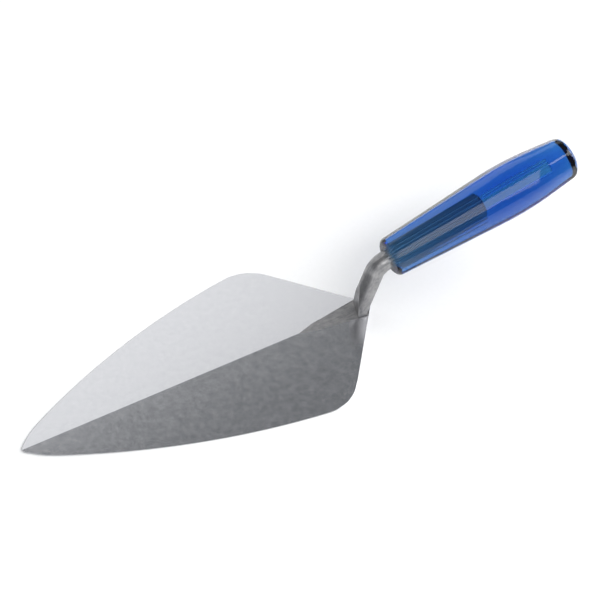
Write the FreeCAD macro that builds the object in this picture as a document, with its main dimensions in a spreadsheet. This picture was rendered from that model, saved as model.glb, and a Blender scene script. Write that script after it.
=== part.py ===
"""Brick trowel: a ground steel blade, a forged gooseneck shank and a clear moulded handle.

Frame, in millimetres: +X runs from the blade's point towards the handle, +Z is up, and the XZ plane
is the plane of symmetry. The origin is on the blade's flat underside, where the axis of the shank's
stem meets it.
"""
import FreeCAD
import Part
import math
import os
import Sketcher

# Driving dimensions: alias, value in millimetres (degrees for angles), what it is.
SIZES = [
    ("blade_length", 280.0, "unrounded point to heel apex"),
    ("blade_width", 140.0, "across the unrounded heel corners"),
    ("heel_depth", 61.0, "heel corners to heel apex, along X"),
    ("side_radius", 593.0, "bow of each long side"),
    ("point_length", 21.2, "length of the tighter bow at the point"),
    ("point_radius", 74.0, "bow of the sides near the point"),
    ("corner_round", 33.0, "rounding of the heel corners"),
    ("tip_round", 3.0, "rounding of the point"),
    ("tip_thickness", 1.2, "ridge height at the point"),
    ("heel_thickness", 3.3, "ridge height at the heel apex"),
    ("ridge_fall", 2.0, "fall of each ground facet over half the width"),
    ("rod_diameter", 13.8, "stem, bend and tang"),
    ("heel_margin", 1.5, "blade left outside the stem at the heel edges"),
    ("foot_length", 49.5, "foot's nose to the stem's axis"),
    ("foot_nose", 13.0, "length of the foot's blunter nose"),
    ("foot_taper", 7.2, "turn of each side of the foot from X"),
    ("foot_margin", 1.2, "foot outside the stem"),
    ("foot_height", 1.8, "foot's top above its seat"),
    ("stem_end_gap", 0.2, "stem's leaning end above the seat"),
    ("foot_draft", 45.0, "lean of the foot's sides"),
    ("foot_level", 17.0, "stem's axis to where the foot's top begins to fall"),
    ("foot_fall", 1.3, "fall of the foot's top from there to the nose"),
    ("seat_depth", 0.25, "seat below the ridge at the foot's nose"),
    ("root_height", 14.0, "root above the foot"),
    ("root_front_flare", 0.3, "root's front at the seat, outside the rod's width on each side"),
    ("root_flare", 1.2, "the same at its widest place"),
    ("root_top_inset", 5.2, "root's front where it runs out, inside the rod's width"),
    ("root_top_waist_inset", 3.2, "the same at its widest place"),
    ("root_back", 2.0, "widest place of the root behind the stem's axis"),
    ("root_face", 1.7, "stem's axis at the underside to the upright face ground on the root"),
    ("root_skew", 19.0, "turn of that face from square"),
    ("stem_lean", 13.0, "lean of the stem towards the handle"),
    ("stem_rise", 43.3, "height at which the stem's and the handle's axes meet"),
    ("bend_radius", 11.0, "bend of the rod, at its axis"),
    ("handle_angle", 13.0, "rise of the handle's axis"),
    ("handle_offset", 9.7, "meeting point of the axes to the handle's front face"),
    ("tang_length", 77.0, "rod inside the handle"),
    ("tang_chamfer", 1.2, "bevel round the tang's end"),
    ("flute_count", 24, "lengthwise flutes round the rod's end"),
    ("flute_radius", 0.9, "cutter that makes a flute"),
    ("flute_depth", 0.45, "depth of a flute"),
    ("handle_length", 152.4, "front face to butt"),
    ("front_radius", 14.2, "turned radius at the front face"),
    ("belly_radius", 19.4, "largest turned radius"),
    ("belly_to_butt", 52.4, "largest radius to the butt"),
    ("belly_bow", 260.0, "lengthwise bow of the belly"),
    ("butt_radius", 15.3, "turned radius at the butt"),
    ("front_flat", 0.6, "depth of a flat at the front face"),
    ("belly_flat", 0.8, "depth of a flat at the belly"),
    ("butt_flat", 1.0, "depth of a flat at the butt"),
    ("flat_count", 8, "flats round the handle"),
    ("front_round", 4.0, "rounding of the front edge"),
    ("butt_round", 6.0, "rounding of the butt edge"),
    ("tang_clearance", 0.02, "bore outside the tang, on the radius"),
    ("tang_end_gap", 0.5, "bore beyond the tang's end"),
    ("pilot_diameter", 7.0, "narrow bore beyond the tang"),
    ("butt_wall", 19.4, "end of the narrow bore's wall to the butt"),
    ("drill_point", 118.0, "angle of the drill's point"),
]

# How near a point counts as the one looked for, and what counts as no length or volume at all.
NEAR = 0.01
NOTHING = 1e-6

# Points of the sketcher's geometry numbering.
START, END, CENTRE = 1, 2, 3
ORIGIN = (-1, 1)
X_AXIS = -1
Y_AXIS = -2

doc = FreeCAD.newDocument("brick_trowel")


def make_sheet():
    """Put the driving dimensions into the document's spreadsheet."""
    sheet = doc.addObject("Spreadsheet::Sheet", "Sizes")
    for row, (alias, amount, meaning) in enumerate(SIZES, start=1):
        sheet.set("A%d" % row, meaning)
        sheet.set("B%d" % row, str(amount))
        sheet.setAlias("B%d" % row, alias)
    doc.recompute()
    return sheet


SHEET = make_sheet()


def size(alias):
    """Value of one driving dimension."""
    return float(SHEET.get(alias))


def vec(x, y, z=0.0):
    """A vector in the sketch plane, or in space."""
    return FreeCAD.Vector(x, y, z)


# Derived places, as expressions that bind to the sheet.
HALF_WIDTH = "Sizes.blade_width / 2"
ROD_RADIUS = "Sizes.rod_diameter / 2"
FOOT_RADIUS = "(Sizes.rod_diameter / 2 + Sizes.foot_margin)"
HEEL_EDGE = "sqrt((Sizes.blade_width / 2)^2 + Sizes.heel_depth^2)"
# The stem stands as far back as the heel's edges allow, so this is the heel apex's X.
HEEL_X = "((%s + Sizes.heel_margin) * %s / (%s))" % (ROD_RADIUS, HEEL_EDGE, HALF_WIDTH)
RIDGE_SLOPE = "((Sizes.heel_thickness - Sizes.tip_thickness) / Sizes.blade_length)"
SEAT_Z = "(Sizes.heel_thickness - (%s + Sizes.foot_length) * %s - Sizes.seat_depth)" % (
    HEEL_X, RIDGE_SLOPE)
FOOT_TOP_Z = "(%s + Sizes.foot_height)" % SEAT_Z
STEM_START_Z = (
    "(%s + Sizes.stem_end_gap + %s * sin(Sizes.stem_lean * 1deg))" % (SEAT_Z, ROD_RADIUS))
# Where the axes of stem and handle meet, and what the bend takes from each of them.
MEET_X = "(Sizes.stem_rise * tan(Sizes.stem_lean * 1deg))"
BEND_TANGENT = ("(Sizes.bend_radius * tan((90deg - Sizes.stem_lean * 1deg"
                " - Sizes.handle_angle * 1deg) / 2))")
FACE_X = "(%s + Sizes.handle_offset * cos(Sizes.handle_angle * 1deg))" % MEET_X
FACE_Z = "(Sizes.stem_rise + Sizes.handle_offset * sin(Sizes.handle_angle * 1deg))"


def number(expression):
    """Present value of an expression, for a sketch's first drawing."""
    return float(SHEET.evalExpression(expression))


def new_body(label):
    """An empty body that becomes the sub-part of that name."""
    body = doc.addObject("PartDesign::Body", label)
    body.Label = label
    return body


def origin_feature(body, role):
    """One of the body's own origin planes or axes."""
    for feature in body.Origin.OriginFeatures:
        if feature.Role == role:
            return feature
    raise ValueError("no origin feature %s" % role)


def new_sketch(body, name, role="XY_Plane", offset=None):
    """A sketch on one of the body's origin planes, lifted or turned by offset."""
    sketch = body.newObject("Sketcher::SketchObject", name)
    sketch.AttachmentSupport = [(origin_feature(body, role), "")]
    sketch.MapMode = "FlatFace"
    if offset is not None:
        sketch.AttachmentOffset = offset
    return sketch


def bind_offset(sketch, **expressions):
    """Bind the parts of a sketch's attachment offset, such as z='...'."""
    for part, expression in expressions.items():
        sketch.setExpression("AttachmentOffset.Base.%s" % part, expression)


def dimension(sketch, kind, refs, expression):
    """Add a driving constraint whose value is an expression."""
    index = sketch.addConstraint(Sketcher.Constraint(kind, *refs, number(expression)))
    sketch.setExpression("Constraints[%d]" % index, expression)
    return index


def relate(sketch, kind, *refs):
    """Add a geometric constraint."""
    sketch.addConstraint(Sketcher.Constraint(kind, *refs))


def place_point(sketch, geo, pos, x=None, y=None):
    """Pin a point by signed distances from the origin; None leaves that direction free."""
    for kind, axis, expression in (("DistanceX", Y_AXIS, x), ("DistanceY", X_AXIS, y)):
        if expression is None:
            continue
        now = number(expression)
        if abs(now) < NOTHING:
            relate(sketch, "PointOnObject", geo, pos, axis)
        elif now > 0:
            dimension(sketch, kind, (*ORIGIN, geo, pos), expression)
        else:
            dimension(sketch, kind, (geo, pos, *ORIGIN), "-(%s)" % expression)


def add_polygon(sketch, corners):
    """Draw a closed polygon whose corners are pairs of expressions."""
    points = [vec(number(x), number(y)) for x, y in corners]
    lines = []
    for here, there in zip(points, points[1:] + points[:1]):
        lines.append(sketch.addGeometry(Part.LineSegment(here, there)))
    for line, following in zip(lines, lines[1:] + lines[:1]):
        relate(sketch, "Coincident", line, END, following, START)
    for line, (x, y) in zip(lines, corners):
        place_point(sketch, line, START, x, y)
    return lines


def arc_between(start, end, radius):
    """Anticlockwise arc of that radius from start to end."""
    chord = end - start
    half = chord.Length / 2
    left = vec(-chord.y, chord.x) / chord.Length
    centre = (start + end) / 2 + left * math.sqrt(radius ** 2 - half ** 2)
    first = math.atan2(start.y - centre.y, start.x - centre.x)
    last = math.atan2(end.y - centre.y, end.x - centre.x)
    return Part.ArcOfCircle(Part.Circle(centre, vec(0, 0, 1), radius), first, last)


def edges_at(feature, test):
    """Names of the feature's edges whose ends and middle all pass the test."""
    names = []
    for index, edge in enumerate(feature.Shape.Edges, start=1):
        middle = edge.valueAt((edge.FirstParameter + edge.LastParameter) / 2)
        points = [vertex.Point for vertex in edge.Vertexes] + [middle]
        if all(test(point) for point in points):
            names.append("Edge%d" % index)
    return names


def dress(body, kind, name, feature, edges, expression):
    """Fillet or chamfer the named edges of a feature."""
    treated = body.newObject("PartDesign::" + kind, name)
    treated.Base = (feature, edges)
    treated.setExpression("Radius" if kind == "Fillet" else "Size", expression)
    doc.recompute()
    return treated


def cut_check(body, feature, before):
    """Stop if a cut left the body as large as it was."""
    body.Tip = feature
    doc.recompute()
    if feature.Shape.Volume >= before - NOTHING:
        raise RuntimeError("%s removed nothing" % feature.Name)


def draw_foot(sketch):
    """Foot outline: behind its nose, every edge is tangent to a circle that clears the stem.

    The sides run back from the blunt nose, the next two edges are parallel to the heel's edges,
    and a short one closes the back.
    """
    clear = number(FOOT_RADIUS)
    nose_x = -size("foot_length")
    shoulder_x = nose_x + size("foot_nose")
    taper = math.radians(size("foot_taper"))
    heel_angle = math.atan2(number(HALF_WIDTH), size("heel_depth"))
    flank_x = (clear / math.sin(heel_angle)
               - clear / (math.cos(taper) * math.tan(heel_angle))) / (
        1 + math.tan(taper) / math.tan(heel_angle))
    shoulder_y, flank_y = (clear / math.cos(taper) + x * math.tan(taper)
                           for x in (shoulder_x, flank_x))
    back_y = (clear / math.sin(heel_angle) - clear) * math.tan(heel_angle)
    points = [vec(nose_x, 0), vec(shoulder_x, -shoulder_y), vec(flank_x, -flank_y),
              vec(clear, -back_y), vec(clear, back_y), vec(flank_x, flank_y),
              vec(shoulder_x, shoulder_y)]
    lines = []
    for here, there in zip(points, points[1:] + points[:1]):
        lines.append(sketch.addGeometry(Part.LineSegment(here, there)))
    for line, following in zip(lines, lines[1:] + lines[:1]):
        relate(sketch, "Coincident", line, END, following, START)
    near_nose, near_side, near_heel, back, far_heel, far_side = lines[:6]
    circle = sketch.addGeometry(Part.Circle(vec(0, 0), vec(0, 0, 1), clear), True)
    relate(sketch, "Coincident", circle, CENTRE, *ORIGIN)
    dimension(sketch, "Radius", (circle,), FOOT_RADIUS)
    place_point(sketch, near_nose, START, "-Sizes.foot_length", "0")
    place_point(sketch, near_side, START, "Sizes.foot_nose - Sizes.foot_length")
    relate(sketch, "Symmetric", near_side, START, far_side, END, X_AXIS)
    relate(sketch, "Symmetric", near_heel, START, far_heel, END, X_AXIS)
    relate(sketch, "Symmetric", near_heel, END, far_heel, START, X_AXIS)
    for line in (near_side, near_heel, back):
        relate(sketch, "Tangent", line, circle)
    dimension(sketch, "Angle", (near_side,), "-Sizes.foot_taper * 1deg")
    dimension(sketch, "Angle", (near_heel,), "atan(%s / Sizes.heel_depth)" % HALF_WIDTH)


def make_blade():
    """Pointed plate with a flat underside and two ground facets above."""
    body = new_body("blade")
    outline = new_sketch(body, "BladeOutline")
    heel_x = number(HEEL_X)
    tip = vec(heel_x - size("blade_length"), 0)
    heel = vec(heel_x, 0)
    corner = vec(heel_x - size("heel_depth"), number(HALF_WIDTH))
    # Drawn at 36 degrees to begin with; the constraints settle its height.
    joint = vec(tip.x + size("point_length"), size("point_length") * math.tan(math.radians(36)))
    middle = outline.addGeometry(Part.LineSegment(tip, heel))
    edge = outline.addGeometry(Part.LineSegment(heel, corner))
    side = outline.addGeometry(arc_between(corner, joint, size("side_radius")))
    point = outline.addGeometry(arc_between(joint, tip, size("point_radius")))
    relate(outline, "Coincident", middle, END, edge, START)
    relate(outline, "Coincident", edge, END, side, START)
    relate(outline, "Tangent", side, END, point, START)
    relate(outline, "Coincident", point, END, middle, START)
    place_point(outline, middle, END, HEEL_X, "0")
    relate(outline, "PointOnObject", middle, START, X_AXIS)
    dimension(outline, "DistanceX", (middle, START, middle, END), "Sizes.blade_length")
    dimension(outline, "DistanceX", (edge, END, edge, START), "Sizes.heel_depth")
    dimension(outline, "DistanceY", (edge, START, edge, END), HALF_WIDTH)
    dimension(outline, "Radius", (side,), "Sizes.side_radius")
    dimension(outline, "Radius", (point,), "Sizes.point_radius")
    dimension(outline, "DistanceX", (middle, START, point, START), "Sizes.point_length")

    half = body.newObject("PartDesign::Pad", "HalfPlate")
    half.Profile = outline
    half.setExpression("Length", "2 * Sizes.heel_thickness")
    doc.recompute()
    plate = body.newObject("PartDesign::Mirrored", "Plate")
    plate.Originals = [half]
    plate.MirrorPlane = (origin_feature(body, "XZ_Plane"), [""])
    body.Tip = plate
    doc.recompute()

    def upright_at(x, y):
        return lambda point: abs(point.x - x) < NEAR and abs(abs(point.y) - y) < NEAR
    corners = dress(body, "Fillet", "HeelCorners", plate,
                    edges_at(plate, upright_at(corner.x, corner.y)), "Sizes.corner_round")
    rounded = dress(body, "Fillet", "Point", corners,
                    edges_at(corners, upright_at(tip.x, 0)), "Sizes.tip_round")

    # Everything above the two facets is ground away: a roof-shaped section, twice the blade's width,
    # is swept along the ridge's slope from behind the heel to beyond the point.
    roof = new_sketch(body, "Roof", "YZ_Plane", FreeCAD.Placement())
    bind_offset(roof, z="%s + Sizes.heel_depth" % HEEL_X)
    ridge = "(Sizes.heel_thickness + Sizes.heel_depth * %s)" % RIDGE_SLOPE
    eaves = "%s - 2 * Sizes.ridge_fall" % ridge
    cover = "3 * Sizes.heel_thickness"
    add_polygon(roof, [("0", ridge), ("Sizes.blade_width", eaves), ("Sizes.blade_width", cover),
                       ("-Sizes.blade_width", cover), ("-Sizes.blade_width", eaves)])
    facets = body.newObject("PartDesign::Pocket", "Facets")
    facets.Profile = roof
    facets.Type = "Length"
    facets.setExpression("Length", "Sizes.blade_length + 2 * Sizes.heel_depth")
    facets.UseCustomVector = True
    facets.Direction = vec(-1, 0, 0)
    facets.setExpression("Direction.z", "-%s" % RIDGE_SLOPE)
    cut_check(body, facets, rounded.Shape.Volume)

    # A shallow seat for the foot, cut through the ridge.
    seat_sketch = new_sketch(body, "SeatOutline", offset=FreeCAD.Placement())
    bind_offset(seat_sketch, z=SEAT_Z)
    draw_foot(seat_sketch)
    seat = body.newObject("PartDesign::Pocket", "Seat")
    seat.Profile = seat_sketch
    seat.Type = "ThroughAll"
    seat.Reversed = True
    cut_check(body, seat, facets.Shape.Volume)
    return body


def make_shank():
    """Foot, flat-faced root, leaning stem, bend and fluted tang, forged from one rod."""
    body = new_body("shank")
    foot_sketch = new_sketch(body, "FootOutline", offset=FreeCAD.Placement())
    bind_offset(foot_sketch, z=SEAT_Z)
    draw_foot(foot_sketch)
    foot = body.newObject("PartDesign::Pad", "Foot")
    foot.Profile = foot_sketch
    foot.setExpression("Length", "Sizes.foot_height")
    foot.setExpression("TaperAngle", "-Sizes.foot_draft")
    doc.recompute()
    fall_sketch = new_sketch(body, "FootFall", "XZ_Plane")
    add_polygon(fall_sketch, [
        ("-Sizes.foot_level", FOOT_TOP_Z),
        ("-Sizes.foot_length", "%s - Sizes.foot_fall" % FOOT_TOP_Z),
        ("-Sizes.foot_length", FOOT_TOP_Z)])
    fall = body.newObject("PartDesign::Pocket", "FallingTop")
    fall.Profile = fall_sketch
    fall.Type = "Length"
    fall.Midplane = True
    fall.setExpression("Length", "Sizes.blade_width")
    cut_check(body, fall, foot.Shape.Volume)

    # The rod follows the stem, the bend and the handle's axis to the tang's end. It starts high
    # enough for its leaning end to clear the seat.
    path = new_sketch(body, "RodPath", "XZ_Plane")
    lean = math.radians(size("stem_lean"))
    rise = math.radians(size("handle_angle"))
    meet = vec(number(MEET_X), size("stem_rise"))
    along_stem = vec(math.sin(lean), math.cos(lean))
    along_handle = vec(math.cos(rise), math.sin(rise))
    low_z = number(STEM_START_Z)
    low = vec(low_z * math.tan(lean), low_z)
    tangent = number(BEND_TANGENT)
    bend_low = meet - along_stem * tangent
    bend_high = meet + along_handle * tangent
    tang_end = meet + along_handle * (size("handle_offset") + size("tang_length"))
    stem = path.addGeometry(Part.LineSegment(low, bend_low))
    bend = path.addGeometry(arc_between(bend_high, bend_low, size("bend_radius")))
    tang = path.addGeometry(Part.LineSegment(bend_high, tang_end))
    axis = path.addGeometry(Part.LineSegment(bend_low, meet), True)
    relate(path, "Tangent", stem, END, bend, END)
    relate(path, "Tangent", bend, START, tang, START)
    relate(path, "Coincident", axis, START, stem, END)
    relate(path, "PointOnObject", axis, END, tang)
    place_point(path, axis, END, MEET_X, "Sizes.stem_rise")
    relate(path, "PointOnObject", axis, END, stem)
    dimension(path, "Radius", (bend,), "Sizes.bend_radius")
    place_point(path, stem, START, "%s * tan(Sizes.stem_lean * 1deg)" % STEM_START_Z,
                STEM_START_Z)
    place_point(path, tang, END,
                "%s + Sizes.tang_length * cos(Sizes.handle_angle * 1deg)" % FACE_X,
                "%s + Sizes.tang_length * sin(Sizes.handle_angle * 1deg)" % FACE_Z)
    section = new_sketch(body, "RodSection", offset=FreeCAD.Placement(
        vec(0, 0, 0), FreeCAD.Rotation(vec(0, 1, 0), size("stem_lean"))))
    bind_offset(section, x="%s * tan(Sizes.stem_lean * 1deg)" % STEM_START_Z, z=STEM_START_Z)
    section.setExpression("AttachmentOffset.Rotation.Angle", "Sizes.stem_lean * 1deg")
    circle = section.addGeometry(Part.Circle(vec(0, 0), vec(0, 0, 1), number(ROD_RADIUS)))
    relate(section, "Coincident", circle, CENTRE, *ORIGIN)
    dimension(section, "Radius", (circle,), ROD_RADIUS)
    rod = body.newObject("PartDesign::AdditivePipe", "Rod")
    rod.Profile = section
    rod.Spine = path
    rod.Mode = "Standard"
    body.Tip = rod
    doc.recompute()

    # The root stands on the seat behind an upright skew face, spreads at its sides and runs out
    # into the round stem.
    top_z = "(%s + Sizes.root_height)" % FOOT_TOP_Z
    sections = []
    for name, height, front_inset, waist_inset in (
            ("RootFoot", SEAT_Z, "-Sizes.root_front_flare", "-Sizes.root_flare"),
            ("RootTop", top_z, "Sizes.root_top_inset", "Sizes.root_top_waist_inset")):
        level = new_sketch(body, name, offset=FreeCAD.Placement())
        bind_offset(level, z=height)
        waist_x = "%s * tan(Sizes.stem_lean * 1deg) + Sizes.root_back" % height
        front_y = "(%s - (%s))" % (ROD_RADIUS, front_inset)
        waist_y = "(%s - (%s))" % (ROD_RADIUS, waist_inset)
        swing = "%s * tan(Sizes.root_skew * 1deg)" % front_y
        add_polygon(level, [("-%s - Sizes.root_face" % swing, "-" + front_y),
                            (waist_x, "-" + waist_y), (waist_x, waist_y),
                            ("%s - Sizes.root_face" % swing, front_y)])
        sections.append(level)
    root = body.newObject("PartDesign::AdditiveLoft", "Root")
    root.Profile = sections[0]
    root.Sections = [sections[1]]
    root.Ruled = True
    body.Tip = root
    doc.recompute()

    # The stem is ground back to the same upright face, above the foot.
    face_sketch = new_sketch(body, "RootFace", offset=FreeCAD.Placement())
    bind_offset(face_sketch, z=FOOT_TOP_Z)
    swing = "Sizes.rod_diameter * tan(Sizes.root_skew * 1deg)"
    add_polygon(face_sketch, [
        ("%s - Sizes.root_face" % swing, "Sizes.rod_diameter"),
        ("-Sizes.foot_length", "Sizes.rod_diameter"),
        ("-Sizes.foot_length", "-Sizes.rod_diameter"),
        ("-%s - Sizes.root_face" % swing, "-Sizes.rod_diameter")])
    face = body.newObject("PartDesign::Pocket", "UprightFace")
    face.Profile = face_sketch
    face.Type = "Length"
    face.Reversed = True
    face.setExpression("Length", "Sizes.stem_rise")
    cut_check(body, face, root.Shape.Volume)

    end = FreeCAD.Vector(tang_end.x, 0, tang_end.y)
    radius = number(ROD_RADIUS)

    def on_end(point):
        return abs((point - end).Length - radius) < NEAR
    bevelled = dress(body, "Chamfer", "TangEnd", face, edges_at(face, on_end),
                     "Sizes.tang_chamfer")

    # Flutes run from the end of the bend to the tang's end.
    flute_sketch = new_sketch(body, "FluteSection", offset=FreeCAD.Placement(
        vec(0, 0, 0), FreeCAD.Rotation(vec(0, 1, 0), 90 - size("handle_angle"))))
    bind_offset(flute_sketch,
                x="%s + %s * cos(Sizes.handle_angle * 1deg)" % (MEET_X, BEND_TANGENT),
                z="Sizes.stem_rise + %s * sin(Sizes.handle_angle * 1deg)" % BEND_TANGENT)
    flute_sketch.setExpression("AttachmentOffset.Rotation.Angle",
                               "90deg - Sizes.handle_angle * 1deg")
    cutter_y = "%s + Sizes.flute_radius - Sizes.flute_depth" % ROD_RADIUS
    cutter = flute_sketch.addGeometry(
        Part.Circle(vec(0, number(cutter_y)), vec(0, 0, 1), size("flute_radius")))
    dimension(flute_sketch, "Radius", (cutter,), "Sizes.flute_radius")
    place_point(flute_sketch, cutter, CENTRE, "0", cutter_y)
    flute = body.newObject("PartDesign::Pocket", "Flute")
    flute.Profile = flute_sketch
    flute.Type = "Length"
    flute.Reversed = True
    flute.setExpression("Length", "Sizes.handle_offset + Sizes.tang_length - %s" % BEND_TANGENT)
    cut_check(body, flute, bevelled.Shape.Volume)
    flutes = body.newObject("PartDesign::PolarPattern", "Flutes")
    flutes.Originals = [flute]
    flutes.Axis = (flute_sketch, ["N_Axis"])
    flutes.Angle = 360
    flutes.setExpression("Occurrences", "Sizes.flute_count")
    cut_check(body, flutes, flute.Shape.Volume)
    return body


def draw_barrel(sketch, front, belly, butt, cover=None):
    """Lengthwise profile of the handle: two tapers joined by the belly's bow.

    front, belly and butt are the radii, as expressions. The profile closes on the axis, or, where
    cover is given, round the outside at that radius, running past both ends.
    """
    bow = size("belly_bow")
    length = size("handle_length")
    top = vec(length - size("belly_to_butt"), number(belly))
    centre = top - vec(0, bow)

    def touch(point, side):
        """Where the line from point touches the bow, on that side of its top."""
        reach = point - centre
        spread = math.acos(bow / reach.Length)
        angle = math.atan2(reach.y, reach.x) - side * spread
        return centre + vec(math.cos(angle), math.sin(angle)) * bow
    first = vec(0, number(front))
    last = vec(length, number(butt))
    rise = touch(first, 1)
    fall = touch(last, -1)
    front_taper = sketch.addGeometry(Part.LineSegment(first, rise))
    belly_arc = sketch.addGeometry(arc_between(fall, rise, bow))
    butt_taper = sketch.addGeometry(Part.LineSegment(fall, last))
    relate(sketch, "Tangent", front_taper, END, belly_arc, END)
    relate(sketch, "Tangent", belly_arc, START, butt_taper, START)
    dimension(sketch, "Radius", (belly_arc,), "Sizes.belly_bow")
    place_point(sketch, belly_arc, CENTRE, "Sizes.handle_length - Sizes.belly_to_butt",
                "%s - Sizes.belly_bow" % belly)
    place_point(sketch, front_taper, START, "0", front)
    place_point(sketch, butt_taper, END, "Sizes.handle_length", butt)
    closing = [first, vec(0, 0), vec(length, 0), last]
    level = "0"
    if cover is not None:
        level = cover
        closing[1:3] = [vec(0, number(cover)), vec(length, number(cover))]
    sides = []
    for here, there in zip(closing, closing[1:]):
        sides.append(sketch.addGeometry(Part.LineSegment(here, there)))
    relate(sketch, "Coincident", front_taper, START, sides[0], START)
    relate(sketch, "Coincident", sides[0], END, sides[1], START)
    relate(sketch, "Coincident", sides[1], END, sides[2], START)
    relate(sketch, "Coincident", sides[2], END, butt_taper, END)
    place_point(sketch, sides[1], START, "0", level)
    place_point(sketch, sides[1], END, "Sizes.handle_length", level)


def make_handle():
    """Turned barrel with flats, bored for the tang; built along X and then set on the tang."""
    body = new_body("handle")
    barrel = new_sketch(body, "Barrel", "XZ_Plane")
    draw_barrel(barrel, "Sizes.front_radius", "Sizes.belly_radius", "Sizes.butt_radius")
    turned = body.newObject("PartDesign::Revolution", "Turned")
    turned.Profile = barrel
    turned.ReferenceAxis = (origin_feature(body, "X_Axis"), [""])
    turned.Angle = 360
    doc.recompute()

    def rim_at(x, radius):
        return lambda point: (abs(point.x - x) < NEAR
                              and abs(math.hypot(point.y, point.z) - radius) < NEAR)
    front = dress(body, "Fillet", "FrontEdge", turned,
                  edges_at(turned, rim_at(0, size("front_radius"))), "Sizes.front_round")
    butt = dress(body, "Fillet", "ButtEdge", front,
                 edges_at(front, rim_at(size("handle_length"), size("butt_radius"))),
                 "Sizes.butt_round")

    flat_sketch = new_sketch(body, "FlatProfile", "XZ_Plane")
    draw_barrel(flat_sketch, "Sizes.front_radius - Sizes.front_flat",
                "Sizes.belly_radius - Sizes.belly_flat", "Sizes.butt_radius - Sizes.butt_flat",
                cover="2 * Sizes.belly_radius")
    flat = body.newObject("PartDesign::Pocket", "Flat")
    flat.Profile = flat_sketch
    flat.Type = "Length"
    flat.Midplane = True
    flat.setExpression("Length", "2 * Sizes.belly_radius")
    cut_check(body, flat, butt.Shape.Volume)
    flats = body.newObject("PartDesign::PolarPattern", "Flats")
    flats.Originals = [flat]
    flats.Axis = (origin_feature(body, "X_Axis"), [""])
    flats.Angle = 360
    flats.setExpression("Occurrences", "Sizes.flat_count")
    cut_check(body, flats, flat.Shape.Volume)

    # The stepped bore: the tang's length, then the narrow bore with its drilled end.
    bore_sketch = new_sketch(body, "BoreProfile", "XZ_Plane")
    wide = "(%s + Sizes.tang_clearance)" % ROD_RADIUS
    deep = "(Sizes.tang_length + Sizes.tang_end_gap)"
    narrow = "(Sizes.pilot_diameter / 2)"
    reach = "(Sizes.handle_length - Sizes.butt_wall)"
    add_polygon(bore_sketch, [
        ("0", "0"),
        ("%s + %s / tan(Sizes.drill_point / 2 * 1deg)" % (reach, narrow), "0"),
        (reach, narrow), (deep, narrow), (deep, wide), ("0", wide)])
    bore = body.newObject("PartDesign::Groove", "Bore")
    bore.Profile = bore_sketch
    bore.ReferenceAxis = (origin_feature(body, "X_Axis"), [""])
    bore.Angle = 360
    cut_check(body, bore, flats.Shape.Volume)

    body.Placement = FreeCAD.Placement(
        vec(0, 0, 0), FreeCAD.Rotation(vec(0, -1, 0), size("handle_angle")))
    body.setExpression("Placement.Base.x", FACE_X)
    body.setExpression("Placement.Base.z", FACE_Z)
    body.setExpression("Placement.Rotation.Angle", "Sizes.handle_angle * 1deg")
    return body


def check_document():
    """Stop if any object of the document failed to build."""
    doc.recompute()
    for item in doc.Objects:
        if "Invalid" in item.State or "Error" in item.State:
            raise RuntimeError("%s did not build: %s" % (item.Name, item.State))
        if item.isDerivedFrom("Sketcher::SketchObject") and not item.FullyConstrained:
            raise RuntimeError("%s is not fully constrained" % item.Name)


def export(bodies):
    """Write each sub-part to its own file."""
    os.makedirs("parts", exist_ok=True)
    for body in bodies:
        shape = body.Shape
        if shape.isNull() or not shape.isValid() or len(shape.Solids) != 1:
            raise RuntimeError("%s is not one sound solid" % body.Label)
    for body in bodies:
        body.Shape.exportStep("parts/%s.step" % body.Label)
        box = body.Shape.optimalBoundingBox()
        print("%-8s volume %9.1f mm3, X %.1f to %.1f, Y %.1f to %.1f, Z %.1f to %.1f" % (
            body.Label, body.Shape.Volume, box.XMin, box.XMax, box.YMin, box.YMax,
            box.ZMin, box.ZMax))


BODIES = [make_blade(), make_shank(), make_handle()]
check_document()
export(BODIES)
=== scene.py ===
"""Looks of the brick trowel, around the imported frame: blade, shank and clear handle, and the studio.

Lengths are in metres in the frame's own axes: +X runs from the blade's point towards the handle,
+Z is up, and the XZ plane is the plane of symmetry.
"""
import logging
import math
from dataclasses import dataclass
from enum import Enum
from typing import Any, Callable, Sequence

import bmesh
import bpy
from mathutils import Matrix, Vector


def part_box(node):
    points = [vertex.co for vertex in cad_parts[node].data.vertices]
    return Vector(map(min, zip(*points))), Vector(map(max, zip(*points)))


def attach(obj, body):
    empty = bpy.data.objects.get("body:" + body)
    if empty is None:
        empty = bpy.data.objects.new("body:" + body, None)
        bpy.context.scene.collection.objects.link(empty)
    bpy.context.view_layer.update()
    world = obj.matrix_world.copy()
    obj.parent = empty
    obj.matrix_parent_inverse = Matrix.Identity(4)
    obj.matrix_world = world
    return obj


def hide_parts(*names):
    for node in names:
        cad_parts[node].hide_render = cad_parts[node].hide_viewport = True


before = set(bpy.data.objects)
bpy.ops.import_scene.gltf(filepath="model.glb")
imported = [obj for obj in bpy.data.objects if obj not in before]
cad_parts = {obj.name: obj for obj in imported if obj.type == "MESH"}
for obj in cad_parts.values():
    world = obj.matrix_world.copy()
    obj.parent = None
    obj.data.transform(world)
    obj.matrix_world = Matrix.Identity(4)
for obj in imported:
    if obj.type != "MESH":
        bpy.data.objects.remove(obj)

LOG = logging.getLogger("brick_trowel")
BODY = "root"
MM = 0.001
WELD = 1e-6  # points that are this close, in metres, are one point
LEVEL = 0.9  # a face lies nearly level if its normal rises by more than this
WALL = 0.5  # and is a wall if its normal rises by less than this
EASE_SEGMENTS = 2  # steps across an eased edge
NOISE_SPAN = {"From Min": 0.35, "From Max": 0.65}  # where most values of a noise pattern lie

Mesh = bmesh.types.BMesh
Edge = bmesh.types.BMEdge
Vert = bmesh.types.BMVert
Piece = bpy.types.Object


class Slot(Enum):
    """The record's material slots."""

    BLADE = "ground_steel"
    SHANK = "forged_steel"
    HANDLE = "clear_blue_plastic"


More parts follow.
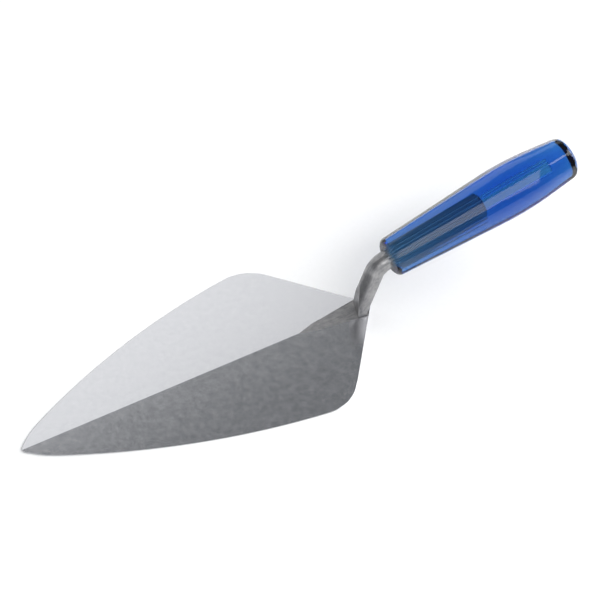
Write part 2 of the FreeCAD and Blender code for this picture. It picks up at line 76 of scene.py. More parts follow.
class Joining(Enum):
    """Ways to combine two closed pieces."""

    FUSE = "UNION"
    CUT = "DIFFERENCE"


# ---------------------------------------------------------------------------------------------
# Small helpers for meshes
# ---------------------------------------------------------------------------------------------

def add_section(mesh: Mesh, count: int, shape: Callable[[float], Vector],
                matrix: Matrix) -> list[Vert]:
    """Add one section of a tube.

    Args:
        mesh: the tube.
        count: how many vertices go round it.
        shape: the section's point, in its own plane, at an angle from +X.
        matrix: where the section stands.

    Returns:
        The section's vertices, in order.
    """
    ring = bmesh.ops.create_circle(mesh, cap_ends=False, segments=count, radius=1)["verts"]
    for index, vert in enumerate(ring):
        vert.co = matrix @ shape(math.tau * index / count)
    return ring


def loop_of(ring: Sequence[Vert]) -> list[Edge]:
    """The edges that join a ring's vertices to each other."""
    held = set(ring)
    return list({edge for vert in ring for edge in vert.link_edges
                 if edge.other_vert(vert) in held})


def bevel(mesh: Mesh, edges: Sequence[Edge], width: float) -> None:
    """Round edges over by that width."""
    bmesh.ops.bevel(mesh, geom=list(edges), offset=width, offset_type="OFFSET", affect="EDGES",
                    segments=EASE_SEGMENTS, profile=0.5, material=-1, clamp_overlap=True)


def hull(corners: Sequence[Sequence[float]], name: str) -> Piece:
    """Make a closed block.

    Args:
        corners: the block's corners, in any order.
        name: the object's name.

    Returns:
        The block.
    """
    mesh = bmesh.new()
    verts = [mesh.verts.new(corner) for corner in corners]
    bmesh.ops.convex_hull(mesh, input=verts)
    bmesh.ops.recalc_face_normals(mesh, faces=mesh.faces)
    return to_object(mesh, name)


def sharpen(mesh: Mesh, limit: float, flat_limit: float | None = None) -> None:
    """Shade smooth, with a hard line where two faces meet at more than a limit.

    Args:
        mesh: the piece.
        limit: least angle of a hard line, in degrees.
        flat_limit: the same between two faces that both lie nearly level; the limit if left out.
    """
    for face in mesh.faces:
        face.smooth = True
    for edge in mesh.edges:
        level = all(abs(face.normal.z) > LEVEL for face in edge.link_faces)
        least = flat_limit if level and flat_limit else limit
        edge.smooth = edge.calc_face_angle(math.pi) < math.radians(least)


def cap(mesh: Mesh) -> None:
    """Close every open end and turn the faces outwards.

    Args:
        mesh: a piece that may have open ends.
    """
    open_edges = [edge for edge in mesh.edges if edge.is_boundary]
    if open_edges:
        bmesh.ops.edgeloop_fill(mesh, edges=open_edges)
    bmesh.ops.recalc_face_normals(mesh, faces=mesh.faces)


def settle(mesh: Mesh, node: str) -> None:
    """Centre a piece's box on its node's box, and report how far it moved.

    Args:
        mesh: the piece, already nearly in place.
        node: the CAD node it stands for.
    """
    low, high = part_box(node)
    corners = [[choose(vert.co[axis] for vert in mesh.verts) for axis in range(3)]
               for choose in (min, max)]
    shift = (low + high) / 2 - (Vector(corners[0]) + Vector(corners[1])) / 2
    bmesh.ops.translate(mesh, verts=mesh.verts, vec=shift)
    LOG.info("%s settled by %.3f mm", node, shift.length / MM)


def to_object(mesh: Mesh, name: str) -> Piece:
    """Turn a finished bmesh into an object at the origin.

    Args:
        mesh: the bmesh, which is freed.
        name: the object's name.

    Returns:
        The object.
    """
    data = bpy.data.meshes.new(name)
    mesh.to_mesh(data)
    mesh.free()
    made = bpy.data.objects.new(name, data)
    bpy.context.scene.collection.objects.link(made)
    return made


def combine(first: Piece, second: Piece, how: Joining) -> None:
    """Fuse the second object into the first, or cut it away, and remove the second.

    Args:
        first: the object that is kept.
        second: the object that is used up.
        how: whether it is fused or cut away.
    """
    joiner = first.modifiers.new(how.name, "BOOLEAN")
    joiner.operation = how.value
    joiner.solver = "EXACT"
    joiner.object = second
    graph = bpy.context.evaluated_depsgraph_get()
    fused = bpy.data.meshes.new_from_object(first.evaluated_get(graph))
    first.modifiers.clear()
    old = first.data
    first.data = fused
    bpy.data.meshes.remove(old)
    bpy.data.objects.remove(second)


def show(piece: Piece, node: str, material: bpy.types.Material) -> None:
    """Dress a piece and put it in the frame in place of its CAD node.

    Args:
        piece: the finished piece.
        node: the CAD node it stands for.
        material: the piece's finish.
    """
    piece.data.materials.clear()
    piece.data.materials.append(material)
    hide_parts(node)
    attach(piece, BODY)


# ---------------------------------------------------------------------------------------------
# The rod's line, which the shank, the handle and the steel's finish share
# ---------------------------------------------------------------------------------------------

@dataclass(frozen=True)
class RodLine:
    """Centre line of the rod: up the leaning stem, then through the handle."""

    lean: float = math.radians(13)
    stem_rise: float = 43.3 * MM
    handle_angle: float = math.radians(13)
    handle_offset: float = 9.7 * MM
    tang_length: float = 77 * MM

    @property
    def stem_way(self) -> Vector:
        """Way up the stem."""
        return Vector((math.sin(self.lean), 0, math.cos(self.lean)))

    @property
    def tang_way(self) -> Vector:
        """Way along the tang, towards the handle's butt."""
        return Vector((math.cos(self.handle_angle), 0, math.sin(self.handle_angle)))

    @property
    def meet(self) -> Vector:
        """Where the stem's line and the tang's cross."""
        return Vector((self.stem_rise * math.tan(self.lean), 0, self.stem_rise))

    @property
    def handle_face(self) -> Vector:
        """Centre of the handle's front face."""
        return self.meet + self.tang_way * self.handle_offset


# ---------------------------------------------------------------------------------------------
# Finishes
# ---------------------------------------------------------------------------------------------

def linear(code: str) -> tuple[float, float, float, float]:
    """Turn an sRGB hex colour into linear RGBA.

    Args:
        code: the colour, such as #ffffff.

    Returns:
        Red, green, blue and an alpha of 1.
    """
    def channel(value: float) -> float:
        """One channel, from 0 to 1, by the sRGB curve."""
        return value / 12.92 if value <= 0.04045 else ((value + 0.055) / 1.055) ** 2.4
    red, green, blue = (channel(int(code[i:i + 2], 16) / 255) for i in (1, 3, 5))
    return red, green, blue, 1.0


class Recipe:
    """The node tree of a material or of the room, filled one node at a time."""

    def __init__(self, owner: bpy.types.Material | bpy.types.World) -> None:
        """Empty the tree.

        Args:
            owner: the material or world that the tree belongs to.
        """
        self.owner = owner
        owner.use_nodes = True
        self.tree = owner.node_tree
        self.tree.nodes.clear()

    def add(self, kind: str, inputs: dict[Any, Any] | None = None,
            **settings: Any) -> bpy.types.Node:
        """Add a node.

        Args:
            kind: Blender's name of the node's type.
            inputs: value or linked output socket for each input, by name or number.
            settings: the node's own properties.

        Returns:
            The node.
        """
        node = self.tree.nodes.new(kind)
        for key, value in settings.items():
            setattr(node, key, value)
        for key, value in (inputs or {}).items():
            if isinstance(value, bpy.types.NodeSocket):
                self.tree.links.new(value, node.inputs[key])
            else:
                node.inputs[key].default_value = value
        return node


@dataclass(frozen=True)
class GroundSteel:
    """High-carbon steel plate, belt-ground and left bright.

    The grinding leaves short fine scratches and a cloudy, slightly uneven sheen, so each facet
    reads as one tone with soft mottling. Grain and scratches are finer in life: they are drawn as
    coarse as they need to be to show.
    """

    light: str = "#cdcdd0"
    dark: str = "#bebfc2"
    roughness: float = 0.20
    roughness_swing: float = 0.03
    cloud: float = 4 * MM
    grain: float = 0.8 * MM
    grain_share: float = 0.45
    scratch: float = 0.9 * MM
    scratch_stretch: float = 9.0
    depth: float = 0.004 * MM

    def make(self) -> bpy.types.Material:
        """Build the material.

        Returns:
            The material.
        """
        recipe = Recipe(bpy.data.materials.new("Ground_high_carbon_steel"))
        place = recipe.add("ShaderNodeTexCoord").outputs["Object"]
        cloud = recipe.add("ShaderNodeTexNoise", {
            "Vector": place, "Scale": 1 / self.cloud, "Detail": 5.0, "Roughness": 0.7})
        grain = recipe.add("ShaderNodeTexNoise", {
            "Vector": place, "Scale": 1 / self.grain, "Detail": 2.0, "Roughness": 0.7})
        mottle = recipe.add("ShaderNodeMix", {
            "Factor": self.grain_share, "A": cloud.outputs["Fac"], "B": grain.outputs["Fac"]},
            data_type="FLOAT").outputs["Result"]
        tone = recipe.add("ShaderNodeMapRange", {
            "Value": mottle, **NOISE_SPAN}).outputs["Result"]
        colour = recipe.add("ShaderNodeMix", {
            "Factor": tone, "A": linear(self.dark), "B": linear(self.light)},
            data_type="RGBA")
        gloss = recipe.add("ShaderNodeMapRange", {
            "Value": mottle, **NOISE_SPAN,
            "To Min": self.roughness - self.roughness_swing,
            "To Max": self.roughness + self.roughness_swing}).outputs["Result"]
        along = recipe.add("ShaderNodeMapping", {
            "Vector": place, "Scale": (self.scratch_stretch, 1.0, 1.0)})
        scratches = recipe.add("ShaderNodeTexNoise", {
            "Vector": along.outputs["Vector"], "Scale": 1 / (self.scratch * self.scratch_stretch),
            "Detail": 3.0, "Roughness": 0.65})
        relief = recipe.add("ShaderNodeBump", {
            "Height": scratches.outputs["Fac"], "Strength": 1.0, "Distance": self.depth})
        shader = recipe.add("ShaderNodeBsdfPrincipled", {
            "Base Color": colour.outputs[2], "Metallic": 1.0, "Roughness": gloss,
            "Normal": relief.outputs["Normal"]})
        recipe.add("ShaderNodeOutputMaterial", {"Surface": shader.outputs["BSDF"]})
        return recipe.owner


@dataclass(frozen=True)
class ForgedSteel:
    """Drop-forged steel, linished after forging.

    Duller and greyer than the blade, with streaks left by the belt along the stem and slight
    hammer-soft unevenness. The streaks are drawn coarser than in life, to show. The tang inside
    the handle is not linished: it keeps the rougher, even skin of the forging, which begins at the
    handle's front face.
    """

    light: str = "#acabab"
    dark: str = "#858587"
    roughness: float = 0.42
    roughness_swing: float = 0.08
    cloud: float = 7 * MM
    streak: float = 0.7 * MM
    streak_share: float = 0.5
    streak_stretch: float = 7.0
    streak_turn: float = math.radians(35)
    depth: float = 0.02 * MM
    skin: str = "#a4a6ab"
    skin_roughness: float = 0.55
    skin_fade: float = 0.6 * MM
    line: RodLine = RodLine()

    def make(self) -> bpy.types.Material:
        """Build the material.

        Returns:
            The material.
        """
        recipe = Recipe(bpy.data.materials.new("Drop_forged_linished_steel"))
        place = recipe.add("ShaderNodeTexCoord").outputs["Object"]
        cloud = recipe.add("ShaderNodeTexNoise", {
            "Vector": place, "Scale": 1 / self.cloud, "Detail": 3.0, "Roughness": 0.6})
        turned = recipe.add("ShaderNodeMapping", {
            "Vector": place, "Rotation": (0.0, 0.0, self.streak_turn),
            "Scale": (1.0, self.streak_stretch, 1.0)})
        streaks = recipe.add("ShaderNodeTexNoise", {
            "Vector": turned.outputs["Vector"],
            "Scale": 1 / (self.streak * self.streak_stretch), "Detail": 3.0, "Roughness": 0.6})
        mottle = recipe.add("ShaderNodeMix", {
            "Factor": self.streak_share, "A": cloud.outputs["Fac"],
            "B": streaks.outputs["Fac"]}, data_type="FLOAT").outputs["Result"]
        tone = recipe.add("ShaderNodeMapRange", {
            "Value": mottle, **NOISE_SPAN}).outputs["Result"]
        colour = recipe.add("ShaderNodeMix", {
            "Factor": tone, "A": linear(self.dark), "B": linear(self.light)},
            data_type="RGBA")
        gloss = recipe.add("ShaderNodeMapRange", {
            "Value": mottle, **NOISE_SPAN,
            "To Min": self.roughness + self.roughness_swing,
            "To Max": self.roughness - self.roughness_swing}).outputs["Result"]
        along = recipe.add("ShaderNodeVectorMath", {
            0: place, 1: self.line.tang_way}, operation="DOT_PRODUCT").outputs["Value"]
        tang_start = self.line.handle_face.dot(self.line.tang_way)
        inside = recipe.add("ShaderNodeMapRange", {
            "Value": along, "From Min": tang_start,
            "From Max": tang_start + self.skin_fade}).outputs["Result"]
        skin = recipe.add("ShaderNodeMix", {
            "Factor": inside, "A": colour.outputs[2], "B": linear(self.skin)},
            data_type="RGBA")
        dull = recipe.add("ShaderNodeMix", {
            "Factor": inside, "A": gloss, "B": self.skin_roughness},
            data_type="FLOAT").outputs["Result"]
        relief = recipe.add("ShaderNodeBump", {
            "Height": mottle, "Strength": 1.0, "Distance": self.depth})
        shader = recipe.add("ShaderNodeBsdfPrincipled", {
            "Base Color": skin.outputs[2], "Metallic": 1.0, "Roughness": dull,
            "Normal": relief.outputs["Normal"]})
        recipe.add("ShaderNodeOutputMaterial", {"Surface": shader.outputs["BSDF"]})
        return recipe.owner


@dataclass(frozen=True)
class ClearBluePlastic:
    """Cellulose acetate butyrate, dyed blue, turned and then polished in solvent vapour.

    Clear right through: the steel tang and the narrow bore show inside, thin places are pale and
    thick ones a deep blue. The dye is in the depth of it, where each colour is absorbed at a rate
    per metre of density times one less its let_through. The skin is glossy, with a faint straw
    tint and a slight ripple.
    """

    skin: str = "#fffee2"
    let_through: tuple[float, float, float] = (0.02, 0.50, 0.875)
    density: float = 142.0
    ior: float = 1.475
    specular: float = 0.5
    roughness: float = 0.02
    roughness_swing: float = 0.015
    ripple: float = 9 * MM
    depth: float = 0.02 * MM

    def make(self) -> bpy.types.Material:
        """Build the material.

        Returns:
            The material.
        """
        recipe = Recipe(bpy.data.materials.new("Clear_blue_cellulose_plastic"))
        place = recipe.add("ShaderNodeTexCoord").outputs["Object"]
        ripple = recipe.add("ShaderNodeTexNoise", {
            "Vector": place, "Scale": 1 / self.ripple, "Detail": 2.0, "Roughness": 0.5})
        gloss = recipe.add("ShaderNodeMapRange", {
            "Value": ripple.outputs["Fac"], **NOISE_SPAN,
            "To Min": self.roughness - self.roughness_swing,
            "To Max": self.roughness + self.roughness_swing}).outputs["Result"]
        relief = recipe.add("ShaderNodeBump", {
            "Height": ripple.outputs["Fac"], "Strength": 1.0, "Distance": self.depth})
        shader = recipe.add("ShaderNodeBsdfPrincipled", {
            "Base Color": linear(self.skin), "Roughness": gloss, "IOR": self.ior,
            "Transmission Weight": 1.0, "Specular IOR Level": self.specular,
            "Normal": relief.outputs["Normal"]})
        dye = recipe.add("ShaderNodeVolumeAbsorption", {
            "Color": (*self.let_through, 1.0), "Density": self.density})
        recipe.add("ShaderNodeOutputMaterial", {
            "Surface": shader.outputs["BSDF"], "Volume": dye.outputs["Volume"]})
        return recipe.owner


@dataclass(frozen=True)
class SeamlessPaper:
    """Matt white background paper, rolled out under the trowel.

    Its fibres give the white a faint cloudiness, drawn coarser than in life.
    """

    white: str = "#f7f7f7"
    shade: str = "#f3f3f3"
    fibre: float = 3 * MM

    def make(self) -> bpy.types.Material:
        """Build the material.

        Returns:
            The material.
        """
        recipe = Recipe(bpy.data.materials.new("Matt_white_background_paper"))
        place = recipe.add("ShaderNodeTexCoord").outputs["Object"]
        fibre = recipe.add("ShaderNodeTexNoise", {"Vector": place, "Scale": 1 / self.fibre})
        colour = recipe.add("ShaderNodeMix", {
            "Factor": fibre.outputs["Fac"], "A": linear(self.white), "B": linear(self.shade)},
            data_type="RGBA")
        shader = recipe.add("ShaderNodeBsdfPrincipled", {
            "Base Color": colour.outputs[2], "Roughness": 0.9, "Specular IOR Level": 0.2})
        recipe.add("ShaderNodeOutputMaterial", {"Surface": shader.outputs["BSDF"]})
        return recipe.owner


# ---------------------------------------------------------------------------------------------
# The trowel
# ---------------------------------------------------------------------------------------------

@dataclass
class Blade:
    """Ground plate: the CAD plate with its cut edges eased.

    The limits are angles between two faces, in degrees: below flat_limit they are one face, above
    edge_limit they meet in a cut edge, and above hard_limit, or ridge_limit on the nearly level
    facets, they meet in a hard line. An edge that climbs by more than upright_share of the plate's
    height is an upright one.
    """

    edge_ease: float = 0.25 * MM
    flat_limit: float = 0.2
    edge_limit: float = 40.0
    hard_limit: float = 20.0
    ridge_limit: float = 1.0
    upright_share: float = 0.4
    finish: GroundSteel = GroundSteel()

    def build(self) -> Piece:
        """Copy the CAD plate, weld it, ease its edges and dress it.

        Returns:
            The plate.
        """
        mesh = bmesh.new()
        mesh.from_mesh(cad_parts["blade"].data)
        bmesh.ops.remove_doubles(mesh, verts=mesh.verts, dist=WELD)
        bmesh.ops.dissolve_limit(mesh, angle_limit=math.radians(self.flat_limit),
                                 verts=mesh.verts, edges=mesh.edges)
        top = max(vert.co.z for vert in mesh.verts)
        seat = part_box("shank")[0].z
        rim = [edge for edge in mesh.edges if self.is_rim(edge, top, seat)]
        bevel(mesh, rim, self.edge_ease)
        sharpen(mesh, self.hard_limit, self.ridge_limit)
        piece = to_object(mesh, "blade_ground")
        show(piece, "blade", self.finish.make())
        return piece

    def is_rim(self, edge: Edge, top: float, seat: float) -> bool:
        """Tell the plate's outline from its other edges.

        Args:
            edge: one of the plate's edges.
            top: height of the plate's highest point.
            seat: height of the shallow seat that the foot stands in.

        Returns:
            True on the outline, above or below, but not for upright edges or the seat's own.
        """
        if edge.calc_face_angle(0) < math.radians(self.edge_limit):
            return False
        heights = [vert.co.z for vert in edge.verts]
        if max(heights) < WELD:
            return True
        seated = all(abs(height - seat) < WELD for height in heights)
        upright = abs(heights[0] - heights[1]) > self.upright_share * top
        return not seated and not upright and self.on_outer_wall(edge)

    @staticmethod
    def on_outer_wall(edge: Edge) -> bool:
        """True if one of the edge's faces is a wall that reaches the underside."""
        return any(min(vert.co.z for vert in face.verts) < WELD and abs(face.normal.z) < WALL
                   for face in edge.link_faces)


@dataclass
class Shank:
    """Foot, root with an upright face in front, stem, bend and fluted tang.

    The main sizes are those of the CAD shank. Edges of the foot that lie more than foot_ease_from
    above its underside are eased. flute_steps is the section of one flute, as how far each of its
    points lies from the rod's surface.
    """

    rod_radius: float = 6.9 * MM
    foot_length: float = 49.5 * MM
    foot_nose: float = 13 * MM
    foot_taper: float = math.radians(7.2)
    foot_margin: float = 1.2 * MM
    foot_height: float = 1.8 * MM
    foot_draft: float = math.radians(45)
    foot_level: float = 17 * MM
    foot_fall: float = 1.3 * MM
    foot_ease: float = 0.2 * MM
    foot_ease_from: float = 0.3 * MM
    blade_half_width: float = 70 * MM
    blade_heel_depth: float = 61 * MM
    bend_radius: float = 11 * MM
    tang_chamfer: float = 1.2 * MM
    root_height: float = 14 * MM
    root_front_flare: float = 0.3 * MM
    root_flare: float = 1.2 * MM
    root_top_inset: float = 5.2 * MM
    root_top_waist_inset: float = 3.2 * MM
    root_back: float = 2 * MM
    root_face: float = 1.7 * MM
    root_skew: float = math.radians(19)
    root_sink: float = 0.6 * MM
    flutes: int = 24
    flute_steps: tuple[float, ...] = (-0.45 * MM, -0.33 * MM, 0.0, -0.33 * MM)
    flute_run: float = 2.5 * MM
    flute_end_share: float = 0.4
    stem_rings: int = 14
    bend_rings: int = 16
    tang_rings: int = 6
    hard_limit: float = 24.0
    seam_limit: float = 10.0
    line: RodLine = RodLine()
    finish: ForgedSteel = ForgedSteel()

    def build(self) -> Piece:
        """Make the foot, root and rod, fuse them, face the root and dress the whole.

        The foot comes last, because facing the root would cut into its top.

        Returns:
            The shank.
        """
        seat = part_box("shank")[0].z
        piece = self.make_rod(seat)
        combine(piece, self.make_root(seat), Joining.FUSE)
        combine(piece, self.make_root_face(seat), Joining.CUT)
        combine(piece, self.make_foot(seat), Joining.FUSE)
        mesh = bmesh.new()
        mesh.from_mesh(piece.data)
        bmesh.ops.remove_doubles(mesh, verts=mesh.verts, dist=WELD)
        settle(mesh, "shank")
        sharpen(mesh, self.hard_limit)
        mesh.to_mesh(piece.data)
        mesh.free()
        show(piece, "shank", self.finish.make())
        return piece

    def make_foot(self, seat: float) -> Piece:
        """Make the drafted foot, whose top falls towards its blunt nose.

        From above, its sides draw in towards the nose, two slanting edges follow the blade's heel
        and a straight one closes the back. All of them pass the rod at the same distance.

        Args:
            seat: height that the foot stands at.

        Returns:
            The foot.
        """
        clear = self.rod_radius + self.foot_margin
        rise = math.tan(self.foot_taper)
        heel = math.atan2(self.blade_half_width, self.blade_heel_depth)
        nose, shoulder = -self.foot_length, self.foot_nose - self.foot_length
        side = clear / math.cos(self.foot_taper)
        flank = (clear / math.sin(heel) - side / math.tan(heel)) / (1 + rise / math.tan(heel))
        back = (clear / math.sin(heel) - clear) * math.tan(heel)
        corners = [(shoulder, side + shoulder * rise), (flank, side + flank * rise),
                   (clear, back)]
        mirrored = [(x, -y) for x, y in corners]
        mesh = bmesh.new()
        base = mesh.faces.new([mesh.verts.new((x, y, seat)) for x, y in
                               [(nose, 0.0)] + mirrored + corners[::-1]])
        base.normal_update()
        bmesh.ops.inset_region(mesh, faces=[base], depth=self.foot_height,
                               thickness=self.foot_height * math.tan(self.foot_draft))
        fall = math.atan2(self.foot_fall, self.foot_length - self.foot_level)
        bmesh.ops.bisect_plane(
            mesh, geom=mesh.verts[:] + mesh.edges[:] + mesh.faces[:], dist=WELD,
            plane_co=(-self.foot_level, 0, seat + self.foot_height),
            plane_no=(-math.sin(fall), 0, math.cos(fall)), clear_outer=True)
        cap(mesh)
        bevel(mesh, [edge for edge in mesh.edges
                     if all(vert.co.z > seat + self.foot_ease_from for vert in edge.verts)
                     and edge.calc_face_angle(0) > math.radians(self.seam_limit)],
              self.foot_ease)
        return to_object(mesh, "foot")

    def make_root(self, seat: float) -> Piece:
        """Make the root behind its upright face: it spreads at its sides and thins upwards.

        Args:
            seat: height that the root starts at.

        Returns:
            The root.
        """
        levels = (
            (seat, -self.root_front_flare, -self.root_flare),
            (seat + self.foot_height + self.root_height, self.root_top_inset,
             self.root_top_waist_inset))
        corners = []
        for level, front_inset, waist_inset in levels:
            waist = level * math.tan(self.line.lean) + self.root_back
            front, widest = self.rod_radius - front_inset, self.rod_radius - waist_inset
            swing = front * math.tan(self.root_skew)
            for side in (-1, 1):
                corners += [(side * swing - self.root_face, side * front, level),
                            (waist, side * widest, level)]
        return hull(corners, "root")

    def make_root_face(self, seat: float) -> Piece:
        """Make what is ground off the stem in front of the root's upright, skewed face.

        Args:
            seat: height of the foot's underside, which the block starts below.

        Returns:
            The block to cut away.
        """
        reach = 2 * self.rod_radius
        swing = reach * math.tan(self.root_skew)
        around = ((swing - self.root_face, reach), (-self.foot_length, reach),
                  (-self.foot_length, -reach), (-swing - self.root_face, -reach))
        heights = (seat - self.foot_height, seat + self.line.stem_rise)
        return hull([(x, y, z) for z in heights for x, y in around], "root_face")

    def section(self, share: float, inset: float) -> Callable[[float], Vector]:
        """Work out a section of the rod, round or fluted.

        Args:
            share: how much of their full depth the flutes have; 0 leaves the rod round.
            inset: how much smaller in radius the section is than the rod.

        Returns:
            The section's point at an angle.
        """
        steps = len(self.flute_steps)

        def point(angle: float) -> Vector:
            """The section's point at an angle from +X."""
            index = round(angle / math.tau * self.flutes * steps) % steps
            radius = self.rod_radius + share * self.flute_steps[index] - inset
            return Vector((math.cos(angle), math.sin(angle), 0)) * radius
        return point

    def make_rod(self, seat: float) -> Piece:
        """Make the stem, bend and tang as one closed tube of sections.

        The stem's lower end is level and hides in the foot. The flutes deepen over a short run
        after the bend and end in the tang's chamfer.

        Args:
            seat: height of the foot's underside.

        Returns:
            The rod.
        """
        line = self.line
        turn = math.pi / 2 - line.lean - line.handle_angle
        tangent = self.bend_radius * math.tan(turn / 2)
        foot_top = seat + self.foot_height
        upright = Matrix.Rotation(line.lean, 4, "Y")
        lying = Matrix.Rotation(math.pi / 2 - line.handle_angle, 4, "Y")
        start = line.stem_way * ((foot_top - self.root_sink) / line.stem_way.z)
        bend_start = line.meet - line.stem_way * tangent
        pivot = bend_start + Vector((math.cos(line.lean), 0, -math.sin(line.lean))
                                    ) * self.bend_radius

        plain, fluted = self.section(0.0, 0.0), self.section(1.0, 0.0)
        sections = []
        for step in range(self.stem_rings + 1):
            centre = start.lerp(bend_start, step / self.stem_rings)
            sections.append((plain, Matrix.Translation(centre) @ upright))
        for step in range(1, self.bend_rings + 1):
            swing = Matrix.Rotation(turn * step / self.bend_rings, 4, "Y")
            about = Matrix.Translation(pivot) @ swing @ Matrix.Translation(-pivot)
            sections.append((plain, about @ Matrix.Translation(bend_start) @ upright))
        end = line.handle_offset + line.tang_length
        stations = [tangent + self.flute_run]
        stations += [line.handle_offset + line.tang_length * k / self.tang_rings
                     for k in range(self.tang_rings)]
        stations.append(end - self.tang_chamfer)
        for distance in stations:
            place = Matrix.Translation(line.meet + line.tang_way * distance)
            sections.append((fluted, place @ lying))
        place = Matrix.Translation(line.meet + line.tang_way * end)
        sections.append((self.section(self.flute_end_share, self.tang_chamfer), place @ lying))

        mesh = bmesh.new()
        count = self.flutes * len(self.flute_steps)
        rings = [add_section(mesh, count, shape, matrix) for shape, matrix in sections]
        for vert in rings[0]:
            vert.co += line.stem_way * ((start.z - vert.co.z) / line.stem_way.z)
        for lower, upper in zip(rings, rings[1:]):
            bmesh.ops.bridge_loops(mesh, edges=loop_of(lower) + loop_of(upper))
        cap(mesh)
        return to_object(mesh, "shank_forged")


@dataclass(frozen=True)
class Taper:
    """Lengthwise line of the barrel: two straight tapers joined by the belly's bow."""

    front: float
    belly: float
    butt: float
    length: float
    belly_at: float
    bow: float

    def touch(self, x: float, radius: float, side: int) -> tuple[float, float]:
        """Where the line from an end touches the bow.

        Args:
            x: the end's place along the axis.
            radius: the end's radius.
            side: 1 for the front end, -1 for the butt.

        Returns:
            Place along the axis and radius.
        """
        dx, dr = x - self.belly_at, radius - (self.belly - self.bow)
        spread = math.acos(self.bow / math.hypot(dx, dr))
        angle = math.atan2(dr, dx) - side * spread
        return (self.belly_at + math.cos(angle) * self.bow,
                self.belly - self.bow + math.sin(angle) * self.bow)

    def at(self, x: float) -> float:
        """Radius of the line.

        Args:
            x: place along the axis.

        Returns:
            The radius there.
        """
        rise_x, rise_r = self.touch(0.0, self.front, 1)
        fall_x, fall_r = self.touch(self.length, self.butt, -1)
        if x < rise_x:
            return self.front + (rise_r - self.front) * x / rise_x
        if x > fall_x:
            return fall_r + (self.butt - fall_r) * (x - fall_x) / (self.length - fall_x)
        return self.belly - self.bow + math.sqrt(self.bow ** 2 - (x - self.belly_at) ** 2)


